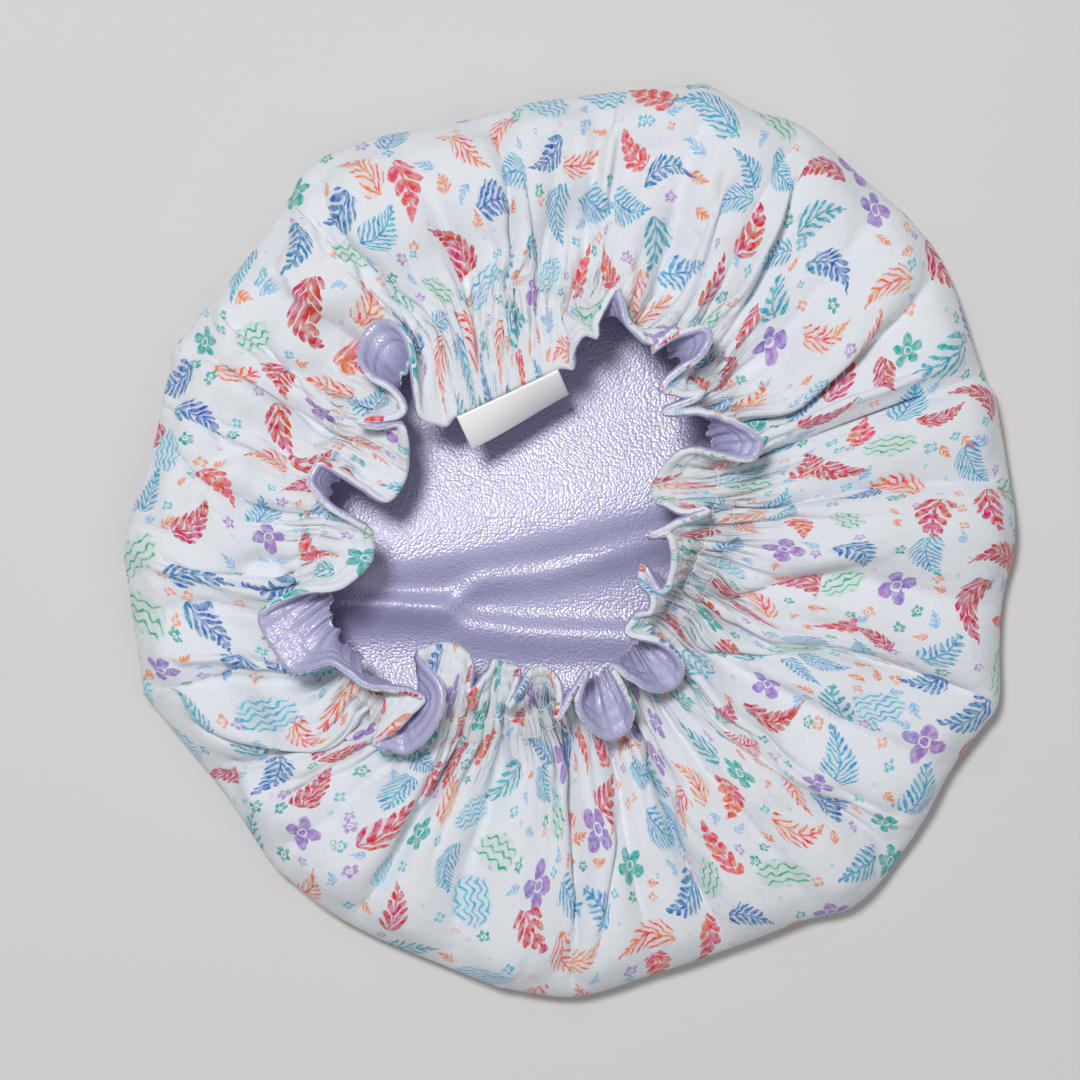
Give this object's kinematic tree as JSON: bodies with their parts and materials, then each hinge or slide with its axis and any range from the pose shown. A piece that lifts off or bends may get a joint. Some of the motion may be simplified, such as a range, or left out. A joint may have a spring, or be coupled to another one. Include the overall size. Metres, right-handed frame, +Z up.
{
  "type": "shower cap",
  "caption": "Gathered shower cap lying on its crown, opening up: printed cotton outside, waterproof lining, elastic casing with a ruffled header and a folded label.",
  "frame": {"origin": "middle of the cap's plan outline, on the surface that its crown rests on", "axes": "+Z up out of the opening; +Y along the longer side of the plan outline, towards the side of the opening that carries the label"},
  "size_m": [0.293, 0.3006, 0.0377],
  "materials": {
    "printed_cotton": "matt plain-weave cotton, white with a small scattered print of leaves, flowers and dots",
    "coated_lining": "lilac waterproof coated cloth, glossy, with a fine pebbled grain",
    "woven_elastic": "white knitted elastic",
    "sewing_thread": "white spun polyester thread",
    "label_ribbon": "white satin-woven ribbon, bare"
  },
  "bodies": {
    "cap": {"outer_fabric": "printed_cotton", "lining": "coated_lining", "elastic_band": "woven_elastic", "elastic_join_thread": "sewing_thread", "casing_body_needle_thread": "sewing_thread", "casing_body_bobbin_thread": "sewing_thread", "casing_header_needle_thread": "sewing_thread", "casing_header_bobbin_thread": "sewing_thread", "rim_seam_thread": "sewing_thread"},
    "label": {"label": "label_ribbon"}
  },
  "joints": [
    {"name": "label_flip", "type": "hinge", "parent": "cap", "child": "label", "pos_m": [-0.02007, 0.04647, 0.0314], "axis": [-0.9063, -0.4226, 0], "range_deg": [-60, 110]}
  ]
}
